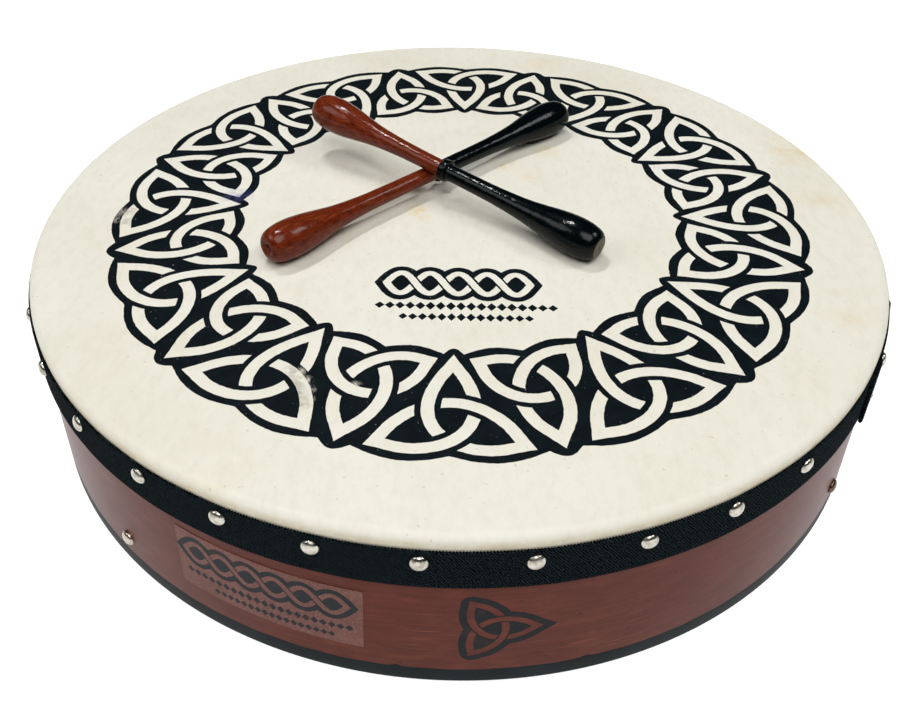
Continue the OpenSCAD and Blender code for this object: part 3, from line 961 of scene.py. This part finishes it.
def tipper_profile(length, ring_at):
    """(profile of (r, z) from the brown end to the black one, kinds of face: 0 brown, 1 black, 2 bare)."""
    half = length / 2
    side = tipper_side(half + ring_at)
    brown_side = [(r, ring_at - z) for r, z in side]
    black_side = [(r, ring_at + z) for r, z in reversed(tipper_side(half - ring_at))]
    hole_r, deep = LATHE_HOLE_R + 0.6 * MM, 9 * MM
    brown = [(0, -half + deep), (hole_r, -half + deep), (hole_r, -half + 1.3 * MM),
             (hole_r + MM, -half + 0.3 * MM), (hole_r + 2 * MM, -half)]
    black = [(LATHE_HOLE_R + 0.25 * MM, half), (LATHE_HOLE_R, half - 0.25 * MM),
             (LATHE_HOLE_R, half - 0.5 * MM), (0, half - 0.5 * MM)]
    profile = brown + brown_side + black_side + black
    kinds = []
    for i in range(len(profile) - 1):
        if i < len(brown) + len(side) - RING_POINTS:
            kinds.append(0)
        elif i < len(profile) - len(black) - 1:
            kinds.append(1)
        else:
            kinds.append(2)
    return profile, kinds


def node_axis(node):
    """(middle, direction towards +X) of a long thin node."""
    co = np.array([v.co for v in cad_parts[node].data.vertices])
    middle = co.mean(0)
    way = np.linalg.svd(co - middle, full_matrices=False)[2][0]
    along = (co - middle) @ way
    middle = middle + way * (along.min() + along.max()) / 2
    return Vector(middle), Vector(way if way[0] > 0 else -way), float(along.max() - along.min())


def build_tipper(name, node, body, ring_at, materials, spin):
    middle, way, length = node_axis(node)
    profile, kinds = tipper_profile(length, ring_at)
    verts, rings = lathe(profile, TIPPER_STEPS)
    turn = way.to_track_quat("Z", "Y").to_matrix().to_4x4()
    place = Matrix.Translation(middle) @ turn @ Matrix.Rotation(spin, 4, "Z")
    face_kinds = [kind for kind in kinds for _ in range(TIPPER_STEPS)]
    obj = make_piece(name, verts, band_faces(rings), materials, body, [node], face_kinds,
                     None, place)
    sharpen(obj, 50)


# ================= build =================

build_hoop()
build_skin()
build_webbing()
NICKEL = plated("nickel", (200, 196, 184), (128, 122, 106), 0.03)
build_domes("tacks", "head_tacks", TAPE_TOP_R, NAIL_D, NAIL_H, NICKEL, 5, 3)
OLD_NICKEL = plated("old_nickel", (196, 188, 174), (128, 116, 98), 0.08, 45)
build_domes("bar_nails", "crossbar_nails", HOOP_R, NAIL_D, NAIL_H, OLD_NICKEL, 3, 5)
PIN_STEEL = plated("pin_steel", (196, 194, 188), (150, 146, 134), 0.0)
build_domes("lap_pins", "overlap_pins", TAPE_TOP_R + TAPE_T, PIN_D, PIN_H, PIN_STEEL, 3, 7)
build_label()
build_side_knot()

BROWN = lacquer("brown_lacquer", ((60, 18, 8), (104, 38, 17), (150, 76, 40)), 0.08 * MM, 0.36)
BLACK = lacquer("black_lacquer", ((0, 4, 5), (2, 8, 9), (12, 20, 24)), 0.08 * MM, 0.3)
END_WOOD = bare_wood("end_wood", (900, 900, 60), (122, 116, 100), (62, 60, 50))
build_tipper("lower_beater", "lower_tipper", "lower_stick", 5 * MM, [BROWN, BLACK, END_WOOD], 0.4)
build_tipper("upper_beater", "upper_tipper", "upper_stick", -2 * MM, [BROWN, BLACK, END_WOOD], 1.3)

# ---- CAD nodes that are shown as they are, with a finish ----

for node in ("lower_crossbar", "upper_crossbar"):
    way = node_axis(node)[1]
    wood = bare_wood(node + "_wood", (16, 260, 260), deg=-math.degrees(math.atan2(way.y, way.x)))
    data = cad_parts[node].data
    data.materials.clear()
    data.materials.append(wood)
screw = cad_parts["lap_screw"]
screw.data.materials.clear()
screw.data.materials.append(plated("screw_steel", (170, 166, 156), (120, 112, 100), 0.04))

# ================= stage =================

def add_floor():
    mesh = bpy.data.meshes.new("floor")
    corners = [(x * STAGE_HALF, y * STAGE_HALF, 0) for x, y in SQUARE]
    mesh.from_pydata(corners, [], [(0, 1, 2, 3)])
    g = Graph("floor")
    mesh.materials.append(g.finish(Base_Color=(0.5, 0.5, 0.5, 1), Roughness=0.9, Specular_IOR_Level=0.0,
                                   Emission_Color=(1, 1, 1, 1), Emission_Strength=0.75))
    obj = bpy.data.objects.new("floor", mesh)
    obj.location.z = -0.0002
    bpy.context.scene.collection.objects.link(obj)


def add_light(name, place, aim, size, power):
    """A soft lamp. size is (width along X, depth)."""
    lamp = bpy.data.lights.new(name, "AREA")
    lamp.shape = "ELLIPSE"
    lamp.size, lamp.size_y = size
    lamp.energy = power
    obj = bpy.data.objects.new(name, lamp)
    obj.location = place
    obj.rotation_euler = (Vector(aim) - Vector(place)).to_track_quat("-Z", "Y").to_euler()
    bpy.context.scene.collection.objects.link(obj)


add_floor()
add_light("key", (-0.9, 1.1, 3.9), (0, 0, 0.09), (1.3, 0.11), 53)
add_light("front", (0.2, -1.7, 3.1), (0, 0, 0.09), (2.6, 2.6), 73)
add_light("right", (2.2, 0.1, 2.8), (0, 0, 0.09), (1.2, 1.2), 27)
add_light("left", (-2.4, -0.5, 2.4), (0, 0, 0.09), (1.6, 1.6), 19)


def add_world():
    """A pale room: bright towards the horizon and dim overhead."""
    world = bpy.data.worlds.new("studio")
    world.use_nodes = True
    tree = world.node_tree
    way = tree.nodes.new("ShaderNodeTexCoord")
    parts = tree.nodes.new("ShaderNodeSeparateXYZ")
    fade = tree.nodes.new("ShaderNodeMapRange")
    tree.links.new(way.outputs["Generated"], parts.inputs[0])
    tree.links.new(parts.outputs[2], fade.inputs["Value"])
    fade.inputs["From Min"].default_value = 0.05
    fade.inputs["From Max"].default_value = 0.32
    fade.inputs["To Min"].default_value = 0.75
    fade.inputs["To Max"].default_value = 0.13
    tree.links.new(fade.outputs["Result"], tree.nodes["Background"].inputs["Strength"])
    bpy.context.scene.world = world


add_world()


# Degrees above the skin's plane, and from pointing at its middle
CAMERA_LIFT, CAMERA_PAN, CAMERA_TILT, CAMERA_ROLL = 32.593, 0.3036, -2.2884, -1.2118
CAMERA_REACH = 2.4622 * 0.2286  # from the skin's middle
CAMERA_LENS, CAMERA_SHIFT = 39.66, -0.1145


def turned_about(vector, axis, degrees):
    return Matrix.Rotation(math.radians(degrees), 3, axis) @ vector


def add_camera():
    """Looks down on the drum from the front, aimed a little off its middle."""
    middle = Vector((0, 0, DRUM_H))
    e = math.radians(CAMERA_LIFT)
    ahead = Vector((0, math.cos(e), -math.sin(e)))
    right = Vector((1, 0, 0))
    up = right.cross(ahead)
    ahead, right = turned_about(ahead, up, CAMERA_PAN), turned_about(right, up, CAMERA_PAN)
    ahead, up = turned_about(ahead, right, CAMERA_TILT), turned_about(up, right, CAMERA_TILT)
    right, up = turned_about(right, ahead, CAMERA_ROLL), turned_about(up, ahead, CAMERA_ROLL)
    cam = bpy.data.cameras.new("camera")
    cam.lens = CAMERA_LENS
    cam.shift_y = CAMERA_SHIFT
    obj = bpy.data.objects.new("camera", cam)
    axes = Matrix((right, up, -ahead)).transposed().to_4x4()
    stand = middle + Vector((0, -math.cos(e), math.sin(e))) * CAMERA_REACH
    obj.matrix_world = Matrix.Translation(stand) @ axes
    bpy.context.scene.collection.objects.link(obj)
    bpy.context.scene.camera = obj


add_camera()
bpy.context.scene.view_settings.view_transform = "Standard"
